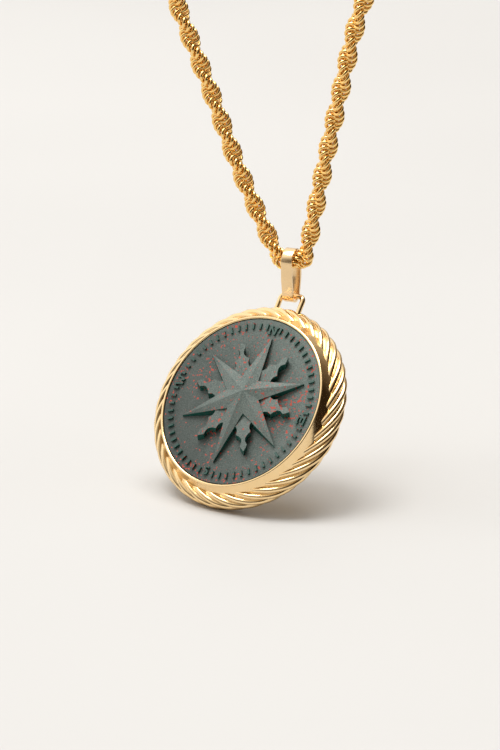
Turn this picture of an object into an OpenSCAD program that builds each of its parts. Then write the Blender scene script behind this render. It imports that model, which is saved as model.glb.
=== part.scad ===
// Compass pendant on a rope chain: a carved green stone in a rope-edged gold
// setting, hung by a strip bail. The chain is a whole loop, as it is worn.
// The origin is the middle of the clasp at the back of the neck, +Z is up,
// +X is to the wearer's left and the pendant hangs in front, towards -Y.

/* [Stone] */
// Width of the round stone
stone_d = 19.9; // [18:0.1:22]
// Thickness of the stone, without its carving
stone_t = 2.6; // [1.8:0.1:3.2]
// Height of the stone's face in front of the middle of the rope border
stone_proud = 1.95; // [1.6:0.05:2.4]
// Bevel around the stone's face, which the rim is pressed over
stone_bevel = 0.2; // [0.1:0.05:0.4]

/* [Carving] */
// Reach of the star's points, as a share of the stone's radius
star_reach = 0.766; // [0.65:0.01:0.8]
// Reach of the star's inner corners, as a share of the stone's radius
star_waist = 0.228; // [0.18:0.01:0.3]
// Height of the star's middle
star_h = 1.9; // [1:0.1:2.2]
// Height of the star at its inner corners, as a share of its middle's
star_corner_rise = 0.6; // [0.4:0.05:0.7]
// Height of the star at the ends of its points
star_tip_h = 0.28; // [0.15:0.01:0.5]
// Turn of the whole carving, clockwise from the loop
star_turn = 5; // [0:1:15]
// Height of the flat leaves between the points
leaf_h = 0.85; // [0.3:0.05:1]
// How far the star and the leaves are off to the right
star_shift = 0.3; // [0:0.05:0.4]
// How far the star and the leaves lean to the upper right, per height
relief_lean = 0.56; // [0:0.02:0.6]
// Places around the ring of bars, four of which hold a letter
ring_places = 60; // [36:4:72]
// Distance of the ring of bars from the middle, as a share of the stone's radius
ring_reach = 0.89; // [0.86:0.005:0.9]
// Length of a bar
bar_l = 0.68; // [0.5:0.02:0.9]
// Width of a bar
bar_w = 0.24; // [0.2:0.02:0.44]
// Height of the bars and letters
bar_h = 0.26; // [0.15:0.01:0.6]
// How much further in the letters stand than the bars
letter_inset = 0.25; // [0:0.05:0.4]
// Height of a letter, foot to top
letter_l = 1.05; // [0.8:0.05:1.2]
// Width of a letter
letter_w = 0.95; // [0.8:0.05:1.1]
// Width of a letter's strokes
stroke_w = 0.2; // [0.14:0.01:0.26]

/* [Setting] */
// Thickness of the rope border
rope_d = 2.7; // [2.3:0.05:3.1]
// Distance from the stone's edge out to the middle of the rope border
rope_out = 0.7; // [0.5:0.05:0.9]
// Strands that cross the border's face all the way round
rope_crossings = 36; // [28:4:44]
// Strands that the border is twisted from
rope_ply = 8; // [6:1:9]
// Depth of the grooves between the strands
rope_groove = 0.3; // [0.1:0.02:0.34]
// Width of the bright rim around the stone's face
rim_w = 0.32; // [0.2:0.02:0.44]
// Height of the rim above the stone's face
rim_h = 0.12; // [0.05:0.01:0.25]
// Thickness of the plate behind the stone
back_t = 0.6; // [0.4:0.05:1]
// Gap between the stone and its setting
stone_gap = 0.04; // [0.02:0.01:0.08]

/* [Loop and bail] */
// Thickness of the wire of the loop on the setting
wire_d = 0.6; // [0.4:0.05:0.8]
// Width of the loop, between the middles of its legs
loop_w = 3; // [2.8:0.1:4]
// Distance from the top of the border to the middle of the loop's bar
loop_rise = 1.7; // [1.4:0.1:2.5]
// Height of the bail over all
bail_h = 6.15; // [5.6:0.05:9]
// Width of the bail's strip
strip_w = 1.3; // [1:0.05:1.6]
// Thickness of the bail's strip
strip_t = 0.35; // [0.25:0.01:0.45]
// Inside radius of the bail's lower bend, around the bar
bail_foot_r = 0.75; // [0.65:0.01:0.9]
// How far the loop is off to one side on the bail
bail_shift = 0.3; // [0:0.05:0.4]
// Gap between the chain and the bail, and between the bail and the bar
bail_gap = 0.1; // [0.05:0.01:0.15]

/* [Chain] */
// Thickness of the rope chain
chain_d = 2.1; // [1.8:0.1:2.4]
// How far the chain hangs down, from the clasp to the bail
pendant_drop = 168; // [140:1:200]
// How far the bail is in front of the clasp
pendant_reach = 112; // [95:1:130]
// Width of the loop of chain at its widest
loop_of_chain_w = 112; // [100:1:130]
// Length of the clasp's barrel
clasp_l = 9; // [7:0.5:14]
// Thickness of the clasp's barrel
clasp_d = 3.6; // [3.4:0.1:5]
// Depth of the sockets that hold the chain's two ends
socket_l = 2; // [1.5:0.1:2.5]
// Gap between a chain end and its socket
socket_gap = 0.05; // [0.03:0.01:0.1]

/* [Pose] */
// How far the medallion is swung forward of hanging plumb
swing = 36.5; // [0:0.5:60]
// How far the medallion is turned to the wearer's right on the bail
turn = 13; // [0:1:15]

/* [Hidden] */
$fn = 64;
gold = [0.83, 0.61, 0.26];
pale_gold = [0.86, 0.72, 0.46];
green_stone = [0.23, 0.28, 0.26];

// The stone and the border
stone_r = stone_d / 2;
rope_r = rope_d / 2;
rope_ring_r = stone_r + rope_out;
setting_r = rope_ring_r + rope_r;
stone_foot = stone_proud - stone_t;
pocket_floor = stone_foot - stone_gap;
lip_r = stone_r - stone_bevel / 2;

// Small steps in the cup's outline: the bevel around its back, the reach of
// its wall into the border, and the shoulder under the rim
back_bevel = 0.5;
wall_out = 0.2;
shoulder = 0.1;

// The middle of the chain in the bail, in front of and below the origin
hang_point = [0, -pendant_reach, -pendant_drop];

// The bail's two bends, measured down from the middle of the chain
bail_head_r = chain_d / 2 + bail_gap;
bail_foot = bail_h - bail_head_r - 2 * strip_t - bail_foot_r;
bar_seat = bail_foot_r - wire_d / 2 - bail_gap;
bar_drop = bail_foot + bar_seat;

// The chain's route as it is worn, from the clasp's one end round to the
// other, measured from the middle of the chain in the bail: across, back, up.
// The stretch near the bail, in mm
visible_route = [
    [-14, 0.6, 27.5], [-9.95, 0.2, 18.5], [-6.2, 0, 9.6], [-3.6, 0, 4.2], [-2.2, 0, 1.5],
    [-1.6, 0, 0.5], [-0.8, 0, 0], [0.8, 0, 0], [1.5, 0, 0.5],
    [1.9, 0, 1.6], [2.45, 0, 4.2], [3.55, 0, 9.6], [5.4, 0.2, 18.5], [7.4, 0.6, 27.5]
];
// The hidden stretch, which takes the plain way round the neck: across as a
// share of half the loop's width, back of the pendant's reach, up of its drop
right_of_neck = [
    [-0.143, 1, 1], [-0.482, 0.973, 0.988], [-0.804, 0.884, 0.958], [-1, 0.696, 0.875],
    [-0.964, 0.446, 0.738], [-0.768, 0.214, 0.565], [-0.536, 0.08, 0.375], [-0.357, 0.022, 0.244]
];
left_of_neck = [
    [0.222, 0.022, 0.244], [0.42, 0.08, 0.375], [0.696, 0.214, 0.565], [0.929, 0.446, 0.738],
    [0.982, 0.696, 0.875], [0.804, 0.884, 0.958], [0.482, 0.973, 0.988], [0.143, 1, 1]
];
ring_spacing = 9;
chain_sides = 8;
chain_end = clasp_l / 2 - socket_l + socket_gap;
chain_stop = [chain_end, pendant_reach, pendant_drop];
chain_start = [-chain_end, pendant_reach, pendant_drop];
chain_route = concat([chain_start], round_the_neck(right_of_neck), visible_route,
                     round_the_neck(left_of_neck), [chain_stop]);
loop_normal = [0, -pendant_drop, pendant_reach];

// How far cuts run past a face, and joined pieces into each other
over = 0.1;

// Bends of strip and wire are a hair thicker than the straight stretches,
// which run a little way into them, so that they join as one solid
swell = 0.01;
overlap = 0.06;

// Half of a leaf's outline: how far out, then how wide, both as shares of the
// stone's radius. Barbs stand out at rows 2, 5 and 9, with scallops between.
leaf_outline = [
    [0.16, 0.06], [0.335, 0.105], [0.362, 0.084], [0.4, 0.076], [0.45, 0.092],
    [0.472, 0.058], [0.512, 0.025], [0.55, 0.022], [0.598, 0.044], [0.632, 0.025]
];
leaf_tip = 0.668;

// The carving's star has this many points, with a leaf between each two
star_points = 6;

// The relief leans this way on the carving
lean_angle = 48;
lean_per_height = relief_lean * [cos(lean_angle), sin(lean_angle)];

// Letter shapes. A serif's length and height are shares of a stroke's width.
// The E's middle arm and its end ticks, and the W's spread and middle peak,
// are shares of half the letter.
serif_l = 2.2;
serif_h = 0.8;
e_arm = 0.5;
e_tick = 0.55;
w_spread = 1.25;
w_peak = 0.6;

// Angles at which the S begins, turns over and ends
s_start = 20;
s_turn_down = 275;
s_turn_up = 95;
s_end = -160;

function unit(v) = v / norm(v);

// Rows of shares of the loop of chain, as points in mm
function round_the_neck(rows) = [
    for (row = rows)
        [row[0] * loop_of_chain_w / 2, row[1] * pendant_reach, row[2] * pendant_drop]
];

// Heading at a point of a route, from its two neighbours
function heading(route, i) =
    let (
        last = len(route) - 1,
        before = i > 0 ? route[i] - route[i - 1] : route[1] - route[0],
        after = i < last ? route[i + 1] - route[i] : route[last] - route[last - 1]
    )
    unit(unit(before) * norm(after) + unit(after) * norm(before));

// A point on the smooth curve between route points i and i + 1
function curve_point(route, i, t) =
    let (
        a = route[i],
        b = route[i + 1],
        pull = norm(b - a),
        slope_a = heading(route, i) * pull,
        slope_b = heading(route, i + 1) * pull
    )
    a * (2 * pow(t, 3) - 3 * pow(t, 2) + 1)
    + slope_a * (pow(t, 3) - 2 * pow(t, 2) + t)
    + b * (3 * pow(t, 2) - 2 * pow(t, 3))
    + slope_b * (pow(t, 3) - pow(t, 2));

// The route with points added, so that none are further apart than spacing
function smooth_route(route, spacing) = [
    for (i = [0 : len(route) - 2])
        let (steps = ceil(norm(route[i + 1] - route[i]) / spacing))
        for (k = [0 : steps - 1]) curve_point(route, i, k / steps),
    route[len(route) - 1]
];

// Faces of a closed tube of rings, as triangles. The last ring meets the
// first one shifted by some points when the tube is a closed loop.
function tube_faces(rings, sides, closed, shift) = [
    for (i = [0 : rings - (closed ? 1 : 2)])
        for (j = [0 : sides - 1])
            let (
                wrap = i == rings - 1,
                next = (j + 1) % sides,
                a = i * sides + j,
                b = i * sides + next,
                c = wrap ? (next + shift) % sides : (i + 1) * sides + next,
                d = wrap ? (j + shift) % sides : (i + 1) * sides + j
            )
            each [[a, b, c], [a, c, d]]
];

module at_hang_point() {
    translate(hang_point) children();
}

// Places the medallion's parts, which are drawn face up around the middle of
// the rope border, with the loop towards +Y
module hung_on_bail() {
    at_hang_point()
        translate([0, 0, -bar_drop])
            rotate([-swing, 0, -turn])
                translate([bail_shift, 0, -setting_r - loop_rise])
                    rotate([90, 0, 0])
                        children();
}

// A straight stroke of a letter between two points
module stroke(a, b) {
    along = unit(b - a);
    side = [along[1], -along[0]] * stroke_w / 2;
    polygon([a + side, b + side, b - side, a - side]);
}

module serif(at) {
    translate(at) square(stroke_w * [serif_l, serif_h], center = true);
}

// Curved stroke of a letter, from one angle to another about a centre
module bent_stroke(centre, r, from, to) {
    steps = 10;
    outer = [for (i = [0 : steps]) let (a = from + (to - from) * i / steps)
        centre + (r + stroke_w / 2) * [cos(a), sin(a)]];
    inner = [for (i = [steps : -1 : 0]) let (a = from + (to - from) * i / steps)
        centre + (r - stroke_w / 2) * [cos(a), sin(a)]];
    polygon(concat(outer, inner));
}

module letter_n(w, h) {
    for (x = [-w, w]) stroke([x, -h], [x, h]);
    stroke([-w, h], [w, -h]);
    serif([-w, h]);
    serif([w, h]);
    serif([-w, -h]);
}

module letter_e(w, h) {
    stroke([-w, -h], [-w, h]);
    for (y = [-h, h]) stroke([-w - stroke_w, y], [w, y]);
    stroke([-w, 0], [w * e_arm, 0]);
    for (y = [-1, 1]) stroke([w, y * h * e_tick], [w, y * (h + stroke_w / 2)]);
}

module letter_s(w, h) {
    r = h / 2;
    bent_stroke([0, r], r, s_start, s_turn_down);
    bent_stroke([0, -r], r, s_turn_up, s_end);
}

module letter_w(w, h) {
    wide = w * w_spread;
    stroke([-wide, h], [-wide / 2, -h]);
    stroke([-wide / 2, -h], [0, h * w_peak]);
    stroke([0, h * w_peak], [wide / 2, -h]);
    stroke([wide / 2, -h], [wide, h]);
    serif([-wide, h]);
    serif([wide, h]);
}

// The ring of short bars, with a letter in four of its places
module ring_of_bars() {
    w = (letter_w - stroke_w) / 2;
    h = (letter_l - stroke_w) / 2;
    quarter = ring_places / 4;
    for (i = [0 : ring_places - 1])
        rotate(-i * 360 / ring_places)
            translate([0, ring_reach * stone_r - (i % quarter == 0 ? letter_inset : 0)])
                linear_extrude(bar_h + over)
                    if (i % quarter != 0) square([bar_w, bar_l], center = true);
                    else if (i == 0) letter_n(w, h);
                    else if (i == quarter) letter_e(w, h);
                    else if (i == 2 * quarter) letter_s(w, h);
                    else letter_w(w, h);
}

// A point of the carving at some height over the stone's face, moved by the
// relief's lean. Feet are sunk into the stone.
function on_face(p) = [p[0], p[1], 0];
function raised(p, h) = [
    p[0] + lean_per_height[0] * h,
    p[1] + lean_per_height[1] * h,
    h + over
];

// A point turned about the middle
function turned(p, a) = [p[0] * cos(a) - p[1] * sin(a), p[0] * sin(a) + p[1] * cos(a)];

// The flat leaves that lie between the star's points
module leaves() {
    for (i = [0 : star_points - 1]) leaf((i + 0.5) * 360 / star_points);
}

// One leaf at some angle, with its top leaning. Its outline goes up the right
// side, over the tip and down the left side.
module leaf(angle) {
    rows = len(leaf_outline);
    count = 2 * rows + 1;
    right = [for (row = leaf_outline) [row[1], row[0]]];
    left = [for (i = [rows - 1 : -1 : 0]) [-leaf_outline[i][1], leaf_outline[i][0]]];
    outline = [for (p = concat(right, [[0, leaf_tip]], left)) turned(stone_r * p, angle)];
    feet = [for (p = outline) on_face(p)];
    tops = [for (p = outline) raised(p, leaf_h)];
    across = [for (i = [0 : rows - 2]) let (far = count - 1 - i) each [
        [i, i + 1, far],
        [i + 1, far - 1, far]
    ]];
    bottom = concat(across, [[rows - 1, rows, rows + 1]]);
    lid = [for (face = bottom) [count + face[2], count + face[1], count + face[0]]];
    walls = [for (i = [0 : count - 1]) let (next = (i + 1) % count) each [
        [i, count + i, count + next],
        [i, count + next, next]
    ]];
    polyhedron(points = concat(feet, tops), faces = concat(bottom, lid, walls));
}

// The pointed star: ridges run from its raised middle to the points, and
// valleys to the inner corners. Its corners are numbered clockwise, points
// and inner corners by turns.
module star() {
    corners = 2 * star_points;
    last = corners - 1;
    apex = 2 * corners;
    middle = apex + 1;
    corner = [for (i = [0 : last]) let (point = i % 2 == 0, a = 90 - i * 360 / corners)
        (point ? star_reach : star_waist) * stone_r * [cos(a), sin(a)]];
    corner_h = star_corner_rise * star_h;
    top = [for (i = [0 : last]) raised(corner[i], i % 2 == 0 ? star_tip_h : corner_h)];
    foot = [for (i = [0 : last]) on_face(corner[i])];
    next = [for (i = [0 : last]) (i + 1) % corners];
    facets = [for (i = [0 : last]) [apex, i, next[i]]];
    walls = [for (i = [0 : last]) each [
        [i, corners + i, corners + next[i]],
        [i, corners + next[i], next[i]]
    ]];
    floor_fan = [for (i = [0 : last]) [middle, corners + next[i], corners + i]];
    polyhedron(points = concat(top, foot, [raised([0, 0], star_h), on_face([0, 0])]),
               faces = concat(facets, walls, floor_fan));
}

module carved_stone() {
    color(green_stone) hung_on_bail() {
        rotate_extrude() polygon([
            [0, stone_foot],
            [stone_r, stone_foot],
            [stone_r, stone_proud - stone_bevel],
            [stone_r - stone_bevel, stone_proud],
            [0, stone_proud]
        ]);
        translate([0, 0, stone_proud - over]) rotate(-star_turn) {
            translate([star_shift, 0]) {
                star();
                leaves();
            }
            ring_of_bars();
        }
    }
}

// The rope border: twisted strands around a ring, their grooves running from
// its outer edge in towards the stone as they go clockwise
module rope_border() {
    points_per_strand = 3;
    spread = [-0.5, -0.2, 0.2];
    depth = [rope_groove, 0, 0];
    rings_per_crossing = 4;
    rings = rope_crossings * rings_per_crossing;
    sides = rope_ply * points_per_strand;
    points = [
        for (i = [0 : rings - 1])
            for (s = [0 : rope_ply - 1])
                for (k = [0 : points_per_strand - 1])
                    let (
                        bearing = i * 360 / rings,
                        twist = bearing * rope_crossings / rope_ply,
                        phi = (s + spread[k]) * 360 / rope_ply - twist,
                        r = rope_r - depth[k],
                        reach = rope_ring_r + r * sin(phi)
                    )
                    [reach * sin(bearing), reach * cos(bearing), r * cos(phi)]
    ];
    shift = (rope_ply - rope_crossings % rope_ply) * points_per_strand;
    polyhedron(points = points, faces = tube_faces(rings, sides, true, shift));
}

// The solid form of the cup that the stone sits in: back plate, wall, and the
// rim around the stone, with a smooth slope from the rim down to the border
module cup() {
    back_z = pocket_floor - back_t;
    rim_top = stone_proud + rim_h;
    rim_r = lip_r + rim_w;
    soft = rim_h / 2;
    rotate_extrude($fn = 128) polygon([
        [0, back_z],
        [rope_ring_r - back_bevel, back_z],
        [rope_ring_r, back_z + back_bevel],
        [rope_ring_r + wall_out, rope_r - rope_groove],
        [rim_r + shoulder, stone_proud - shoulder],
        [rim_r, stone_proud],
        [rim_r, rim_top - soft],
        [rim_r - soft, rim_top],
        [0, rim_top]
    ]);
}

// The stone's place in the cup. The lip at its mouth is pressed over the
// upper half of the stone's bevel.
module pocket() {
    pocket_r = stone_r + stone_gap;
    bevel_foot = stone_proud - stone_bevel + 1.5 * stone_gap;
    mouth = stone_proud + rim_h;
    soft = rim_h / 2;
    rotate_extrude($fn = 128) polygon([
        [0, pocket_floor],
        [pocket_r, pocket_floor],
        [pocket_r, bevel_foot],
        [lip_r, bevel_foot + stone_bevel / 2 + stone_gap],
        [lip_r, mouth - soft],
        [lip_r + soft + over, mouth + over],
        [0, mouth + over]
    ]);
}

// The wire loop that the bail passes through
module wire_loop() {
    wire_r = wire_d / 2;
    bend = wire_d;
    half = loop_w / 2;
    bar_y = setting_r + loop_rise;
    leg_foot = rope_ring_r - half * half / rope_ring_r;
    for (side = [-1, 1]) {
        translate([side * half, leg_foot, 0])
            rotate([-90, 0, 0]) cylinder(r = wire_r, h = bar_y - bend - leg_foot + overlap);
        translate([side * (half - bend), bar_y - bend, 0])
            rotate(side > 0 ? 0 : 90)
                rotate_extrude(angle = 90) translate([bend, 0]) circle(r = wire_r + swell);
    }
    translate([bend - half - overlap, bar_y, 0])
        rotate([0, 90, 0]) cylinder(r = wire_r, h = loop_w - 2 * bend + 2 * overlap);
}

module setting() {
    color(gold) hung_on_bail() {
        difference() {
            union() {
                cup();
                rope_border();
            }
            pocket();
        }
        wire_loop();
    }
}

// The bail's strip, bent round the chain above and the loop's bar below
module bail() {
    lean = asin((bail_head_r - bail_foot_r) / bail_foot);
    wall_l = bail_foot * cos(lean);
    color(pale_gold) at_hang_point()
        translate([-strip_w / 2, 0, 0]) rotate([90, 0, 90]) {
            rotate(-lean) bend_of_strip(bail_head_r, 180 + 2 * lean);
            translate([0, -bail_foot])
                rotate(180 + lean) bend_of_strip(bail_foot_r, 180 - 2 * lean);
            for (side = [0, 1]) mirror([side, 0, 0])
                rotate(-lean) translate([bail_head_r, -wall_l - overlap, 0])
                    cube([strip_t, wall_l + 2 * overlap, strip_w]);
        }
}

module bend_of_strip(inside_r, angle) {
    rotate_extrude(angle = angle)
        translate([inside_r - swell, 0]) square([strip_t + 2 * swell, strip_w]);
}

// The rope chain's outer form, a tube along its whole route
module rope_chain() {
    centres = smooth_route(chain_route, ring_spacing);
    rings = len(centres);
    points = [
        for (i = [0 : rings - 1])
            let (
                ahead = heading(centres, i),
                out = unit(cross(loop_normal, ahead)),
                up = cross(out, ahead)
            )
            for (j = [0 : chain_sides - 1])
                let (a = (j + 0.5) * 360 / chain_sides)
                centres[i] + chain_d / 2 * (out * cos(a) + up * sin(a))
    ];
    first_cap = [for (j = [0 : chain_sides - 1]) chain_sides - 1 - j];
    last_cap = [for (j = [0 : chain_sides - 1]) (rings - 1) * chain_sides + j];
    skin = tube_faces(rings, chain_sides, false, 0);
    color(gold) at_hang_point()
        polyhedron(points = points, faces = concat([first_cap], skin, [last_cap]));
}

// The hidden clasp: a plain barrel with a socket at each end for the chain
module clasp() {
    barrel_r = clasp_d / 2;
    edge = 0.4;
    socket_r = chain_d / 2 + socket_gap;
    color(gold) rotate([0, 90, 0]) difference() {
        rotate_extrude() polygon([
            [0, -clasp_l / 2], [barrel_r - edge, -clasp_l / 2], [barrel_r, edge - clasp_l / 2],
            [barrel_r, clasp_l / 2 - edge], [barrel_r - edge, clasp_l / 2], [0, clasp_l / 2]
        ]);
        for (side = [-1, 1])
            translate([0, 0, side * clasp_l / 2])
                cylinder(r = socket_r, h = 2 * socket_l, center = true);
    }
}

carved_stone();
setting();
bail();
rope_chain();
clasp();
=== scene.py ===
"""Looks of a compass pendant on a rope chain: its links, its rope border, its
materials, the light and the camera. Lengths are in millimetres until a mesh
or an object is made, and the frame gives the places of the solid parts."""
import math

import bpy
import numpy as np
from mathutils import Matrix, Vector


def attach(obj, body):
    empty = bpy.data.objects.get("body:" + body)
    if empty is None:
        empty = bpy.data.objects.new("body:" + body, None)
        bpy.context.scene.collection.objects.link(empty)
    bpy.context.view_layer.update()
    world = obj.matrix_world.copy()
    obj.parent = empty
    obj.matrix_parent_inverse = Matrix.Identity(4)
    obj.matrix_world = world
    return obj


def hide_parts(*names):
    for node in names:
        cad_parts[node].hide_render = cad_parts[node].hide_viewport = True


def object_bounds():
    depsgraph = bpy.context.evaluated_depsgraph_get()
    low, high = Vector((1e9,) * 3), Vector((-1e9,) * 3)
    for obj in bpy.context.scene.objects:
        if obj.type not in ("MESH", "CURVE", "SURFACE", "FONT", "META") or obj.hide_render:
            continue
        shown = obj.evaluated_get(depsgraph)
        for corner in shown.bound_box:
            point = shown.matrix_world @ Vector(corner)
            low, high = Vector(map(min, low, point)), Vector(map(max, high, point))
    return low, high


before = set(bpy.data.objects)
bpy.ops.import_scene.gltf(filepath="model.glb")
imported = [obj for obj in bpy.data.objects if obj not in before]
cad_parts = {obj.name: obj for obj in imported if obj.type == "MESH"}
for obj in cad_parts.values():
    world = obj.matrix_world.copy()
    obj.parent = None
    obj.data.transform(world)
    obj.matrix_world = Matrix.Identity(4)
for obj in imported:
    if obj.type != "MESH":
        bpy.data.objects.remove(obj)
cad_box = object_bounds()

MM = 0.001
scene = bpy.context.scene

# The stone
STONE_R = 9.95
STONE_PROUD = 1.95
STONE_BEVEL = 0.2
STONE_T = 2.6
STONE_GAP = 0.04
LEAF_H = 0.85
BAR_H = 0.26
RING_INNER_R = 8.0

# The cup that holds it: its plate and wall, the slope inside the border, the
# rim and the bends between them
BACK_T = 0.6
BACK_BEVEL = 0.5
WALL_OUT = 0.2
SLOPE_SINK = 0.3
RIM_W = 0.32
RIM_H = 0.12
CUP_BEND = 0.07
# A bend starts no further from its corner than a line's length over this
CUT_DIVISOR = 2.2
CUP_STEPS = 256
RIM_STEPS = 12

# The rope border
ROPE_R = 1.35
ROPE_RING_R = 10.65
ROPE_CROSSINGS = 36
ROPE_PLY = 8
ROPE_GROOVE = 0.38
GROOVE_POWER = 2.1
RINGS_PER_CROSSING = 16
# Places across a strand, from one groove to the next
STRAND_PLACES = np.array([-0.5, -0.44, -0.34, -0.2, 0.0, 0.2, 0.34, 0.44])
SETTING_R = ROPE_RING_R + ROPE_R

# The wire loop
WIRE_R = 0.3
LOOP_W = 3.0
LOOP_RISE = 1.7
WIRE_SIDES = 24
LOOP_BEND_STEPS = 8

# The bail's strip, and its two bends
BAIL_H = 6.15
STRIP_W = 1.3
STRIP_T = 0.35
STRIP_EDGE_R = 0.07
STRIP_EDGE_STEPS = 4
BAIL_HEAD_R = 1.15
BAIL_FOOT_R = 0.75
BAIL_GAP = 0.1
BAIL_BOW = 0.12
BAIL_BEND_STEPS = 32
BAIL_SIDE_STEPS = 14
# How far the medallion hangs to one side of the bail's middle
BAIL_SHIFT = 0.3
# From the middle of the upper bend down to that of the lower one, and to the bar
BAIL_FOOT = BAIL_H - BAIL_HEAD_R - 2 * STRIP_T - BAIL_FOOT_R
BAR_DROP = BAIL_FOOT + BAIL_FOOT_R - WIRE_R - BAIL_GAP

# The pose of the medallion, and the middle of the chain in the bail
SWING = math.radians(36.5)
TURN = math.radians(13)
REACH = 112
DROP = 168
HALF_LOOP_W = 56
HANG = Vector((0, -REACH, -DROP))

# From the dial, drawn face up around the middle of the rope border, to the frame
DIAL = (
    Matrix.Translation((HANG - Vector((0, 0, BAR_DROP))) * MM)
    @ Matrix.Rotation(-TURN, 4, "Z")
    @ Matrix.Rotation(-SWING, 4, "X")
    @ Matrix.Translation(Vector((BAIL_SHIFT, 0, -SETTING_R - LOOP_RISE)) * MM)
    @ Matrix.Rotation(math.radians(90), 4, "X")
)

# The chain's route, measured from the middle of the chain in the bail
VISIBLE_ROUTE = [
    (-14, 0.6, 27.5), (-9.95, 0.2, 18.5), (-6.2, 0, 9.6), (-3.6, 0, 4.2), (-2.2, 0, 1.5),
    (-1.6, 0, 0.5), (-0.8, 0, 0), (0.8, 0, 0), (1.5, 0, 0.5),
    (1.9, 0, 1.6), (2.45, 0, 4.2), (3.55, 0, 9.6), (5.4, 0.2, 18.5), (7.4, 0.6, 27.5),
]
# The hidden stretch: shares of half the loop's width, of the reach and of the drop
RIGHT_OF_NECK = [
    (-0.143, 1, 1), (-0.482, 0.973, 0.988), (-0.804, 0.884, 0.958), (-1, 0.696, 0.875),
    (-0.964, 0.446, 0.738), (-0.768, 0.214, 0.565), (-0.536, 0.08, 0.375), (-0.357, 0.022, 0.244),
]
LEFT_OF_NECK = [
    (0.222, 0.022, 0.244), (0.42, 0.08, 0.375), (0.696, 0.214, 0.565), (0.929, 0.446, 0.738),
    (0.982, 0.696, 0.875), (0.804, 0.884, 0.958), (0.482, 0.973, 0.988), (0.143, 1, 1),
]
# How far each end is from the clasp's middle, and the steps between two places
CHAIN_END = 2.55
ROUTE_STEPS = 200

# The chain's links: two strands of rings wind round each other, and the next
# ring along the chain always belongs to the other strand
LINK_SPACING = 0.48
TWIST_PITCH = 6.7
STRAND_OUT = 0.35
LINK_R = 0.54
LINK_WIRE_R = 0.2
TWIST_START = math.radians(98)
# The rings' normal: against the turn of the twist, and along the chain
LINK_NORMAL = (-0.91, 0.41)
# How far from the bail the rings are finer, and the points around a ring and
# around its wire, there and in the rest
FRONT_LENGTH = 34
FINE_RING = (28, 12)
PLAIN_RING = (14, 6)

# Gold, as two tones, the least and the most roughness, and the grain per metre
POLISHED_GOLD = ((0.98, 0.74, 0.42), (0.95, 0.67, 0.33), (0.1, 0.18), 3000)
CHAIN_GOLD = ((1, 0.69, 0.27), (0.97, 0.61, 0.2), (0.12, 0.2), 4000)
SATIN_GOLD = ((0.91, 0.67, 0.39), (0.87, 0.62, 0.34), (0.17, 0.27), 9000)
GOLD_BUMP = 0.003

# Stone: the frosted ground and its pale grain, the bare stone, and the specks
# on the one and on the other
FROSTED = ((0.052, 0.074, 0.066), (0.092, 0.114, 0.104))
FROST_GRAIN = (0.21, 0.24, 0.222)
BARE_STONE = (0.009, 0.08, 0.062)
FROSTED_SPECK = (0.5, 0.075, 0.048)
BARE_SPECK = (0.24, 0.018, 0.009)
STONE_BUMP = 0.02
# How much of the frost is gone on top of the bars and letters
BAR_BARENESS = 0.55
# The frost is painted paler towards this side of the dial, a painted sheen
PAINTED_SHEEN_SIDE = Vector((0.8, 0.6, 0))
# Where the specks are densest, right of the star
RED_PATCH = (5.4, 0.2, STONE_PROUD)
RED_PATCH_R = 3.6

# The floor
FLOOR_TONES = ((0.56, 0.556, 0.548), (0.59, 0.586, 0.578))
FLOOR_HALF_W = 3000

# The camera: the middle of the rope border falls on its place in the picture
CAMERA_AZIMUTH = math.radians(24)
CAMERA_ELEVATION = math.radians(16.7)
CAMERA_DISTANCE = 330
PIXELS_PER_MM = 9.06
PICTURE = (500, 750)
BORDER_MIDDLE_PX = (249.3, 407.4)
SENSOR = 36

# The air's dim side, to the right of the camera and below, how bright the air
# is from the opposite side to the dim one, and where a dim figure stands
DIM_BEARING = CAMERA_AZIMUTH + math.radians(60)
DIM_SIDE = Vector((math.sin(DIM_BEARING), -math.cos(DIM_BEARING), -0.75)).normalized()
AIR_TONES = [
    (0.05, (1, 0.985, 0.965)), (0.2, (0.84, 0.81, 0.77)), (0.34, (0.42, 0.39, 0.34)),
    (0.5, (0.14, 0.11, 0.08)), (0.68, (0.02, 0.013, 0.007)),
]
AIR_STRENGTH = 1.22
FIGURE = Vector((-0.37, -0.92, 0.1))

# Soft square lights: azimuth and elevation in degrees, distance and width in
# metres, power in watts, colour
LIGHTS = {
    "key": (-75, 75, 1.3, 0.65, 11, (1, 0.985, 0.96)),
    "top": (150, 75, 1.3, 0.56, 5.5, (1, 0.99, 0.98)),
}


# Meshes

def new_object(name, points, faces, material, smooth=True):
    """A mesh object from points in millimetres."""
    mesh = bpy.data.meshes.new(name)
    faces = faces.tolist() if isinstance(faces, np.ndarray) else faces
    mesh.from_pydata((np.asarray(points, float) * MM).tolist(), [], faces)
    mesh.validate()
    mesh.polygons.foreach_set("use_smooth", [smooth] * len(mesh.polygons))
    mesh.materials.append(material)
    thing = bpy.data.objects.new(name, mesh)
    scene.collection.objects.link(thing)
    return thing


def grid_faces(rows, columns, closed_rows=True, closed_columns=True, shift=0):
    """Faces between the rows of a grid of points. The last row meets the first
    one shifted by some columns where the rows are closed."""
    last_row = rows if closed_rows else rows - 1
    last_column = columns if closed_columns else columns - 1
    i, j = np.meshgrid(np.arange(last_row), np.arange(last_column), indexing="ij")
    j_next = (j + 1) % columns
    wrap = np.where(i == rows - 1, shift, 0)
    i_next = (i + 1) % rows
    a = i * columns + j
    b = i * columns + j_next
    c = i_next * columns + (j_next + wrap) % columns
    d = i_next * columns + (j + wrap) % columns
    return np.stack([a, b, c, d], axis=-1).reshape(-1, 4)


def unit(v):
    """Vectors of length one."""
    v = np.asarray(v, float)
    return v / np.linalg.norm(v, axis=-1, keepdims=True)


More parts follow.
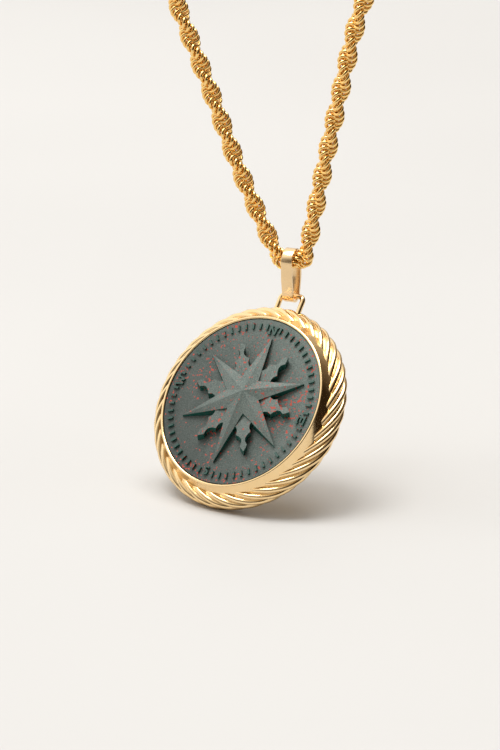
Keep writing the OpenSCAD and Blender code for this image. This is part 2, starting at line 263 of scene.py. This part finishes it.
def tube(path, radius, sides):
    """Points and faces of a round tube along a flat path, closed at its ends."""
    path = np.asarray(path, float)
    ahead = unit(np.gradient(path, axis=0))
    # A straight path has no plane of its own, so its far end is moved a little
    far_end = path[-1] + (0.1, 0.2, 0.3)
    across = unit(np.cross(path[1] - path[0], far_end - path[0]))
    side = unit(np.cross(ahead, across))
    up = np.cross(side, ahead)
    angle = np.arange(sides) * 2 * math.pi / sides
    ring = side[:, None, :] * np.cos(angle)[:, None] + up[:, None, :] * np.sin(angle)[:, None]
    points = (path[:, None, :] + radius * ring).reshape(-1, 3)
    faces = grid_faces(len(path), sides, closed_rows=False).tolist()
    faces.append(list(range(sides))[::-1])
    faces.append(list(range(len(points) - sides, len(points))))
    return points, faces


# The chain's route and its links

def headings(route):
    """Heading at each point of a route, from its two neighbours."""
    step = np.diff(route, axis=0)
    before = np.vstack([step[:1], step])
    after = np.vstack([step, step[-1:]])
    size_before = np.linalg.norm(before, axis=1, keepdims=True)
    size_after = np.linalg.norm(after, axis=1, keepdims=True)
    return unit(before / size_before * size_after + after / size_after * size_before)


def chain_line(spacing):
    """Points on the middle of the whole chain, evenly spaced, and how far each
    is along the chain from the bail."""
    extent = np.array([HALF_LOOP_W, REACH, DROP])
    start = [(-CHAIN_END, REACH, DROP)]
    stop = [(CHAIN_END, REACH, DROP)]
    right = RIGHT_OF_NECK * extent
    left = LEFT_OF_NECK * extent
    route = np.vstack([start, right, VISIBLE_ROUTE, left, stop])
    heading = headings(route)
    pull = np.linalg.norm(np.diff(route, axis=0), axis=1)[:, None, None]
    t = np.linspace(0, 1, ROUTE_STEPS, endpoint=False)[None, :, None]
    dense = (
        route[:-1, None] * (2 * t**3 - 3 * t**2 + 1)
        + heading[:-1, None] * pull * (t**3 - 2 * t**2 + t)
        + route[1:, None] * (3 * t**2 - 2 * t**3)
        + heading[1:, None] * pull * (t**3 - t**2)
    ).reshape(-1, 3)
    dense = np.vstack([dense, route[-1]])
    along = np.concatenate([[0], np.cumsum(np.linalg.norm(np.diff(dense, axis=0), axis=1))])
    lowest = np.argmin(np.linalg.norm(dense, axis=1))
    along -= along[lowest]
    first = math.ceil(along[0] / spacing)
    last = math.floor(along[-1] / spacing)
    places = np.arange(first, last + 1) * spacing
    line = np.stack([np.interp(places, along, dense[:, k]) for k in range(3)], axis=1)
    return line + np.array(HANG), places


def carried_frames(line):
    """The line's headings, and a side direction that is carried along it from
    end to end without twisting."""
    ahead = unit(np.gradient(line, axis=0))
    side = np.zeros_like(ahead)
    middle = len(line) // 2
    side[middle] = unit(np.cross(ahead[middle], (0, 1, 0)))
    for step in (1, -1):
        stop = len(line) if step == 1 else -1
        for i in range(middle + step, stop, step):
            carried = side[i - step] - np.dot(side[i - step], ahead[i]) * ahead[i]
            side[i] = carried / np.linalg.norm(carried)
    return ahead, side


def chain_links(places, line, ahead, side, sides_round, sides_wire):
    """Points and faces of the rings at these places."""
    up = np.cross(ahead, side)
    around = np.arange(sides_round) * 2 * math.pi / sides_round
    across = np.arange(sides_wire) * 2 * math.pi / sides_wire
    reach = LINK_R + LINK_WIRE_R * np.cos(across)
    width = LINK_WIRE_R * np.sin(across)
    strand = np.round(2 * places / LINK_SPACING) % 2
    angle = (TWIST_START + strand * math.pi - 2 * math.pi * places / TWIST_PITCH)[:, None]
    out = side * np.cos(angle) + up * np.sin(angle)
    turn = up * np.cos(angle) - side * np.sin(angle)
    centre = line + STRAND_OUT * out
    normal = unit(turn * LINK_NORMAL[0] + ahead * LINK_NORMAL[1])
    second = np.cross(normal, out)
    spoke = (
        out[:, None, :] * np.cos(around)[None, :, None]
        + second[:, None, :] * np.sin(around)[None, :, None]
    )
    points = (
        centre[:, None, None, :]
        + spoke[:, :, None, :] * reach[None, None, :, None]
        + normal[:, None, None, :] * width[None, None, :, None]
    ).reshape(-1, 3)
    ring = grid_faces(sides_round, sides_wire)
    first_point = (np.arange(len(places)) * sides_round * sides_wire)[:, None, None]
    return points, (ring[None] + first_point).reshape(-1, 4)


def add_chain(material):
    """The links, in one fine piece around the bail and two plainer ones."""
    line, places = chain_line(LINK_SPACING / 2)
    ahead, side = carried_frames(line)
    groups = [
        ("chain_links_front", np.abs(places) <= FRONT_LENGTH, FINE_RING),
        ("chain_links_right", places < -FRONT_LENGTH, PLAIN_RING),
        ("chain_links_left", places > FRONT_LENGTH, PLAIN_RING),
    ]
    for name, chosen, sides in groups:
        points, faces = chain_links(
            places[chosen], line[chosen], ahead[chosen], side[chosen], *sides
        )
        links = new_object(name, points, faces, material)
        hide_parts("rope_chain")
        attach(links, "chain")


# The setting

def lathe(profile, steps):
    """Points and faces of an outline of (radius, height) turned around Z."""
    profile = np.asarray(profile, float)
    angle = np.arange(steps) * 2 * math.pi / steps
    x = profile[:, 0][None, :] * np.cos(angle)[:, None]
    y = profile[:, 0][None, :] * np.sin(angle)[:, None]
    z = np.broadcast_to(profile[:, 1], x.shape)
    points = np.stack([x, y, z], axis=-1).reshape(-1, 3)
    return points, grid_faces(steps, len(profile), closed_columns=False)


def rounded(outline, radius, steps=4):
    """An outline with each inner corner replaced by a short smooth bend."""
    outline = [np.asarray(p, float) for p in outline]
    made = [outline[0]]
    for before, corner, after in zip(outline, outline[1:], outline[2:]):
        to_before = before - corner
        to_after = after - corner
        length_before = np.linalg.norm(to_before)
        length_after = np.linalg.norm(to_after)
        cut = min(radius, length_before / CUT_DIVISOR, length_after / CUT_DIVISOR)
        a = corner + to_before / length_before * cut
        b = corner + to_after / length_after * cut
        for t in np.linspace(0, 1, steps + 1):
            made.append(a * (1 - t) ** 2 + corner * 2 * t * (1 - t) + b * t**2)
    made.append(outline[-1])
    return made


def add_cup(material):
    """The cup that holds the stone: back plate, wall, slope and bright rim. Its
    outline runs from the middle of the back to the middle of the pocket."""
    near_axis = 0.001
    floor_z = STONE_PROUD - STONE_T - STONE_GAP
    back_z = floor_z - BACK_T
    lip_r = STONE_R - STONE_BEVEL / 2
    pocket_r = STONE_R + STONE_GAP
    mouth_foot = STONE_PROUD - STONE_BEVEL + 1.5 * STONE_GAP
    outline = rounded([
        (near_axis, back_z), (ROPE_RING_R - BACK_BEVEL, back_z),
        (ROPE_RING_R, back_z + BACK_BEVEL),
        (ROPE_RING_R + WALL_OUT, ROPE_R - SLOPE_SINK), (lip_r + RIM_W, STONE_PROUD),
    ], CUP_BEND)
    for a in np.linspace(0, math.pi, RIM_STEPS + 1)[1:]:
        rim_turn = (lip_r + RIM_W / 2 * (1 + math.cos(a)), STONE_PROUD + RIM_H * math.sin(a))
        outline.append(rim_turn)
    outline += [
        (lip_r, mouth_foot + STONE_BEVEL / 2 + STONE_GAP), (pocket_r, mouth_foot),
        (pocket_r, floor_z), (near_axis, floor_z),
    ]
    points, faces = lathe(outline, CUP_STEPS)
    cup = new_object("setting_cup", points, faces, material)
    cup.matrix_world = DIAL
    return cup


def add_rope_border(material):
    """The twisted border: strands that bulge between sharp grooves."""
    rings = ROPE_CROSSINGS * RINGS_PER_CROSSING
    groove = ROPE_GROOVE * np.abs(2 * STRAND_PLACES) ** GROOVE_POWER
    bearing = np.arange(rings) * 2 * math.pi / rings
    strand = np.repeat(np.arange(ROPE_PLY), len(STRAND_PLACES))
    place = np.tile(STRAND_PLACES, ROPE_PLY)
    depth = np.tile(groove, ROPE_PLY)
    phi = (strand + place)[None, :] * 2 * math.pi / ROPE_PLY
    phi = phi - (bearing * ROPE_CROSSINGS / ROPE_PLY)[:, None]
    r = (ROPE_R - depth)[None, :]
    clear_of_stone = STONE_R + 2 * STONE_GAP
    reach = np.maximum(ROPE_RING_R + r * np.sin(phi), clear_of_stone)
    points = np.stack(
        [reach * np.sin(bearing)[:, None], reach * np.cos(bearing)[:, None], r * np.cos(phi)],
        axis=-1,
    ).reshape(-1, 3)
    shift = (ROPE_PLY - ROPE_CROSSINGS % ROPE_PLY) * len(STRAND_PLACES)
    faces = grid_faces(rings, ROPE_PLY * len(STRAND_PLACES), shift=shift)
    border = new_object("rope_border", points, faces, material)
    border.matrix_world = DIAL
    return border


def add_wire_loop(material):
    """The wire loop on top of the border, which the bail holds."""
    half = LOOP_W / 2
    bar_y = SETTING_R + LOOP_RISE
    bend = 2 * WIRE_R
    foot = ROPE_RING_R - half * half / ROPE_RING_R
    quarter = np.linspace(0, math.pi / 2, LOOP_BEND_STEPS + 1)
    path = [(-half, foot, 0), (-half, (foot + bar_y - bend) / 2, 0)]
    for a in quarter:
        path.append((-half + bend - bend * math.cos(a), bar_y - bend + bend * math.sin(a), 0))
    for a in quarter:
        path.append((half - bend + bend * math.sin(a), bar_y - bend + bend * math.cos(a), 0))
    path += [(half, (foot + bar_y - bend) / 2, 0), (half, foot, 0)]
    points, faces = tube(path, WIRE_R, WIRE_SIDES)
    loop = new_object("wire_loop", points, faces, material)
    loop.matrix_world = DIAL
    return loop


def add_setting(material):
    """The soldered setting: cup, rope border and wire loop."""
    for piece in (add_cup(material), add_rope_border(material), add_wire_loop(material)):
        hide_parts("setting")
        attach(piece, "medallion")


# The bail

def bail_line():
    """The middle of the bail's strip, seen from the side: two bends, and two
    sides that bow out a little between them."""
    lean = math.asin((BAIL_HEAD_R - BAIL_FOOT_R) / BAIL_FOOT)
    over = np.linspace(-lean, math.pi + lean, BAIL_BEND_STEPS + 1)
    under = np.linspace(math.pi + lean, 2 * math.pi - lean, BAIL_BEND_STEPS + 1)
    head = (BAIL_HEAD_R + STRIP_T / 2) * np.stack([np.cos(over), np.sin(over)], axis=1)
    foot = (BAIL_FOOT_R + STRIP_T / 2) * np.stack([np.cos(under), np.sin(under)], axis=1)
    foot[:, 1] -= BAIL_FOOT
    t = np.linspace(0, 1, BAIL_SIDE_STEPS + 1)[1:-1, None]
    bow = BAIL_BOW * np.sin(math.pi * t) ** 2
    left_side = head[-1] * (1 - t) + foot[0] * t + bow * (-math.cos(lean), -math.sin(lean))
    right_side = foot[-1] * (1 - t) + head[0] * t + bow * (math.cos(lean), -math.sin(lean))
    return np.vstack([head, left_side, foot, right_side])


def add_bail(material):
    """The strip bent round the chain above and round the loop's bar below."""
    centres = bail_line()
    ahead = unit(np.roll(centres, -1, axis=0) - np.roll(centres, 1, axis=0))
    outward = np.stack([ahead[:, 1], -ahead[:, 0]], axis=1)
    half_w = STRIP_W / 2 - STRIP_EDGE_R
    half_t = STRIP_T / 2 - STRIP_EDGE_R
    section = []
    for corner in range(4):
        sx = 1 if corner in (0, 3) else -1
        sy = 1 if corner in (0, 1) else -1
        for k in range(STRIP_EDGE_STEPS + 1):
            a = (corner + k / STRIP_EDGE_STEPS) * math.pi / 2
            edge = (STRIP_EDGE_R * math.cos(a), STRIP_EDGE_R * math.sin(a))
            section.append((sx * half_w + edge[0], sy * half_t + edge[1]))
    section = np.asarray(section)
    yz = centres[:, None, :] + outward[:, None, :] * section[None, :, 1:2]
    x = np.broadcast_to(section[None, :, 0:1], yz[..., :1].shape)
    points = np.concatenate([x, yz], axis=-1).reshape(-1, 3) + np.array(HANG)
    bail = new_object("bail_strip", points, grid_faces(len(centres), len(section)), material)
    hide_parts("bail")
    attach(bail, "bail")


# Steps of a node tree

def object_position(tree):
    """The output that gives a point's place on its object."""
    return tree.nodes.new("ShaderNodeTexCoord").outputs["Object"]


def noise(tree, place, scale, detail=3.0, roughness=0.5):
    """A noise texture's value at a place. The scale is per metre."""
    node = tree.nodes.new("ShaderNodeTexNoise")
    node.inputs["Scale"].default_value = scale
    node.inputs["Detail"].default_value = detail
    node.inputs["Roughness"].default_value = roughness
    tree.links.new(place, node.inputs["Vector"])
    return node.outputs["Fac"]


def ramp(tree, value, stops):
    """A colour ramp over a value. Stops are (place, colour)."""
    node = tree.nodes.new("ShaderNodeValToRGB")
    elements = node.color_ramp.elements
    while len(elements) < len(stops):
        elements.new(0.5)
    for element, (place, colour) in zip(elements, stops):
        element.position = place
        element.color = (*colour, 1)
    tree.links.new(value, node.inputs["Fac"])
    return node.outputs["Color"]


def between(tree, value, start, stop):
    """Black up to a value of start, and white from stop on."""
    return ramp(tree, value, [(start, (0, 0, 0)), (stop, (1, 1, 1))])


def scaled(tree, value, first, last, start=0, stop=1):
    """A value that goes from start to stop, made to go from first to last."""
    node = tree.nodes.new("ShaderNodeMapRange")
    node.inputs["From Min"].default_value = start
    node.inputs["From Max"].default_value = stop
    node.inputs["To Min"].default_value = first
    node.inputs["To Max"].default_value = last
    tree.links.new(value, node.inputs["Value"])
    return node.outputs["Result"]


def mixed(tree, amount, a, b):
    """Colour a, with b over it by some amount."""
    node = tree.nodes.new("ShaderNodeMix")
    node.data_type = "RGBA"
    tree.links.new(amount, node.inputs["Factor"])
    for socket, colour in ((node.inputs[6], a), (node.inputs[7], b)):
        if isinstance(colour, tuple):
            socket.default_value = (*colour, 1)
        else:
            tree.links.new(colour, socket)
    return node.outputs[2]


def vector_result(tree, operation, a, b=None, output="Value"):
    """What a vector node makes of a vector, and of a second, plain one."""
    node = tree.nodes.new("ShaderNodeVectorMath")
    node.operation = operation
    tree.links.new(a, node.inputs[0])
    if b is not None:
        node.inputs[1].default_value = b
    return node.outputs[output]


def combined(tree, operation, a, b):
    """Two values put together. The second one may be a plain number."""
    node = tree.nodes.new("ShaderNodeMath")
    node.operation = operation
    tree.links.new(a, node.inputs[0])
    if isinstance(b, (int, float)):
        node.inputs[1].default_value = b
    else:
        tree.links.new(b, node.inputs[1])
    return node.outputs["Value"]


def lit(tree, colour, amount):
    """A colour made lighter or darker by some factor."""
    node = tree.nodes.new("ShaderNodeVectorMath")
    node.operation = "SCALE"
    tree.links.new(colour, node.inputs[0])
    tree.links.new(amount, node.inputs["Scale"])
    return node.outputs["Vector"]


def add_bump(tree, shader, height, depth):
    """Bump of some depth, in millimetres, from a height of 0 to 1."""
    node = tree.nodes.new("ShaderNodeBump")
    node.inputs["Distance"].default_value = depth * MM
    tree.links.new(height, node.inputs["Height"])
    tree.links.new(node.outputs["Normal"], shader.inputs["Normal"])


# Materials

def new_material(name):
    """A node material, with its nodes, its links and its shader."""
    material = bpy.data.materials.new(name)
    material.use_nodes = True
    tree = material.node_tree
    return material, tree, tree.nodes["Principled BSDF"]


def metal(name, colour, second_colour, roughness, grain_scale):
    """Gold: slight patches of tone, uneven polish and fine wear."""
    material, tree, shader = new_material(name)
    place = object_position(tree)
    patches = noise(tree, place, scale=900)
    shader.inputs["Metallic"].default_value = 1.0
    tree.links.new(mixed(tree, patches, colour, second_colour), shader.inputs["Base Color"])
    smears = noise(tree, place, scale=2500, detail=4)
    tree.links.new(scaled(tree, smears, *roughness), shader.inputs["Roughness"])
    wear = noise(tree, place, scale=grain_scale, detail=2)
    add_bump(tree, shader, wear, GOLD_BUMP)
    return material


def frosted_share(tree, from_middle, height, dial_up):
    """How frosted the stone is: wholly on surfaces that face up from the dial,
    about half on top of the bars and letters, and not on the cut walls."""
    normal = tree.nodes.new("ShaderNodeTexCoord").outputs["Normal"]
    facing = vector_result(tree, "DOT_PRODUCT", normal, dial_up)
    frosted = between(tree, facing, start=0.45, stop=0.75)
    distance = vector_result(tree, "LENGTH", from_middle)
    on_ring = combined(tree, "GREATER_THAN", distance, RING_INNER_R * MM)
    on_top = combined(tree, "GREATER_THAN", height, (STONE_PROUD + BAR_H / 2) * MM)
    on_bar = combined(tree, "MULTIPLY", on_ring, on_top)
    bareness = scaled(tree, on_bar, first=0, last=BAR_BARENESS)
    share = combined(tree, "SUBTRACT", frosted, bareness)
    return combined(tree, "MAXIMUM", share, 0.0)


def frost_with_painted_light(tree, place, grain, from_middle, height):
    """The frosted ground, cloudy and grained, with painted light: a painted sheen makes it paler
    to one side, and the raised relief is painted paler than the ground, which stands in for the
    shade around the raised parts.
    """
    clouds = noise(tree, place, scale=260, detail=6, roughness=0.6)
    ground = ramp(tree, clouds, [(0.3, FROSTED[0]), (0.7, FROSTED[1])])
    pale_grain = scaled(tree, between(tree, grain, start=0.4, stop=0.75), first=0, last=0.6)
    ground = mixed(tree, pale_grain, ground, FROST_GRAIN)
    side = vector_result(tree, "DOT_PRODUCT", from_middle, DIAL.to_3x3() @ PAINTED_SHEEN_SIDE)
    edge = STONE_R * MM
    # painted sheen: the frost is made paler towards one side of the dial
    painted_sheen = scaled(tree, side, first=0.56, last=1.56, start=-edge, stop=edge)
    face = STONE_PROUD * MM
    # painted light: raised relief is made paler than the ground around it, which stands in for
    # the shade between the raised parts
    painted_light_by_height = scaled(tree, height, first=0, last=0.3, start=face, stop=face + LEAF_H * MM)
    return lit(tree, ground, combined(tree, "ADD", painted_sheen, painted_light_by_height))


def speck_share(tree, place, from_middle):
    """Where the red specks are: small spots in loose clusters and in one patch."""
    spots = noise(tree, place, scale=3200, detail=1, roughness=0.6)
    clusters = noise(tree, place, scale=330, detail=2, roughness=0.6)
    spots = combined(tree, "ADD", spots, scaled(tree, clusters, first=-0.2, last=0.2))
    patch_middle = DIAL.to_3x3() @ (Vector(RED_PATCH) * MM)
    from_patch = vector_result(tree, "DISTANCE", from_middle, patch_middle)
    near_patch = scaled(tree, from_patch, first=0.1, last=0, stop=RED_PATCH_R * MM)
    spots = combined(tree, "ADD", spots, near_patch)
    return between(tree, spots, start=0.65, stop=0.71)


def stone_material():
    """Carved green stone with red specks: frosted on the face, the star and
    the leaves, half as much on top of the bars and letters, and dark and
    glossy on the cut walls."""
    material, tree, shader = new_material("carved_green_stone")
    place = object_position(tree)
    dial_up = DIAL.to_3x3() @ Vector((0, 0, 1))
    from_middle = vector_result(tree, "SUBTRACT", place, DIAL.translation, "Vector")
    height = vector_result(tree, "DOT_PRODUCT", from_middle, dial_up)
    frosted = frosted_share(tree, from_middle, height, dial_up)
    grain = noise(tree, place, scale=7000, detail=2, roughness=0.8)
    frost = frost_with_painted_light(tree, place, grain, from_middle, height)
    ground = mixed(tree, frosted, BARE_STONE, frost)
    red = mixed(tree, frosted, BARE_SPECK, FROSTED_SPECK)
    colour = mixed(tree, speck_share(tree, place, from_middle), ground, red)
    tree.links.new(colour, shader.inputs["Base Color"])
    tree.links.new(scaled(tree, frosted, first=0.25, last=0.6), shader.inputs["Roughness"])
    shader.inputs["Specular IOR Level"].default_value = 0.35
    add_bump(tree, shader, grain, STONE_BUMP)
    return material


def floor_material():
    """Plain pale floor with a faint unevenness."""
    material, tree, shader = new_material("pale_floor")
    tone = noise(tree, object_position(tree), scale=6, detail=2)
    pale = ramp(tree, tone, [(0.3, FLOOR_TONES[0]), (0.7, FLOOR_TONES[1])])
    tree.links.new(pale, shader.inputs["Base Color"])
    shader.inputs["Roughness"].default_value = 0.7
    return material


def dress_node(name, material):
    """Gives a solid part that stays in view its material."""
    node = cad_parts[name]
    node.data.materials.clear()
    node.data.materials.append(material)


# The studio

def away_from_object(azimuth, elevation):
    """The direction of this azimuth, from the front, and elevation."""
    level = math.cos(elevation)
    return Vector((math.sin(azimuth) * level, -math.cos(azimuth) * level, math.sin(elevation)))


def add_floor():
    """A pale floor under the object's lowest point."""
    w = FLOOR_HALF_W
    corners = [(-w, -w, 0), (w, -w, 0), (w, w, 0), (-w, w, 0)]
    floor = new_object("floor", corners, [(0, 1, 2, 3)], floor_material(), smooth=False)
    floor.location.z = cad_box[0][2]


def add_light(name, azimuth, elevation, distance, size, power, colour):
    """A square soft light that looks at the medallion."""
    data = bpy.data.lights.new(name, "AREA")
    data.shape = "SQUARE"
    data.size = size
    data.energy = power
    data.color = colour
    light = bpy.data.objects.new(name, data)
    scene.collection.objects.link(light)
    away = away_from_object(math.radians(azimuth), math.radians(elevation))
    light.location = DIAL.translation + away * distance
    light.rotation_euler = away.to_track_quat("Z", "Y").to_euler()


def add_world():
    """Studio air: seen from the camera it is bright above and to the left, less
    so behind the object, and dim to the right and in front."""
    world = bpy.data.worlds.new("studio")
    scene.world = world
    world.use_nodes = True
    tree = world.node_tree
    direction = tree.nodes.new("ShaderNodeTexCoord").outputs["Generated"]
    dimness = vector_result(tree, "DOT_PRODUCT", direction, DIM_SIDE)
    air = ramp(tree, scaled(tree, dimness, first=0, last=1, start=-1), AIR_TONES)
    near_figure = vector_result(tree, "DOT_PRODUCT", direction, FIGURE)
    figure = scaled(tree, near_figure, first=1, last=0.4, start=0.8, stop=0.93)
    background = tree.nodes["Background"]
    tree.links.new(lit(tree, air, figure), background.inputs["Color"])
    background.inputs["Strength"].default_value = AIR_STRENGTH


def add_camera():
    """Looks from the wearer's left and from a little above."""
    data = bpy.data.cameras.new("camera")
    data.sensor_width = SENSOR
    data.lens = SENSOR * CAMERA_DISTANCE * PIXELS_PER_MM / PICTURE[1]
    data.clip_start = 0.01
    camera = bpy.data.objects.new("camera", data)
    scene.collection.objects.link(camera)
    back = away_from_object(CAMERA_AZIMUTH, CAMERA_ELEVATION)
    right = Vector((math.cos(CAMERA_AZIMUTH), math.sin(CAMERA_AZIMUTH), 0))
    up = back.cross(right)
    off_x = (BORDER_MIDDLE_PX[0] - PICTURE[0] / 2) / PIXELS_PER_MM
    off_y = (BORDER_MIDDLE_PX[1] - PICTURE[1] / 2) / PIXELS_PER_MM
    place = DIAL.translation + (back * CAMERA_DISTANCE - right * off_x + up * off_y) * MM
    axes = Matrix((right, up, back)).transposed().to_4x4()
    camera.matrix_world = Matrix.Translation(place) @ axes
    scene.camera = camera


scene.view_settings.view_transform = "Standard"
add_camera()
polished = metal("polished_gold", *POLISHED_GOLD)
links_gold = metal("chain_gold", *CHAIN_GOLD)
satin = metal("satin_gold", *SATIN_GOLD)
add_chain(links_gold)
add_setting(polished)
add_bail(satin)
dress_node("carved_stone", stone_material())
dress_node("clasp", links_gold)
add_floor()
add_world()
for light_name, settings in LIGHTS.items():
    add_light(light_name, *settings)
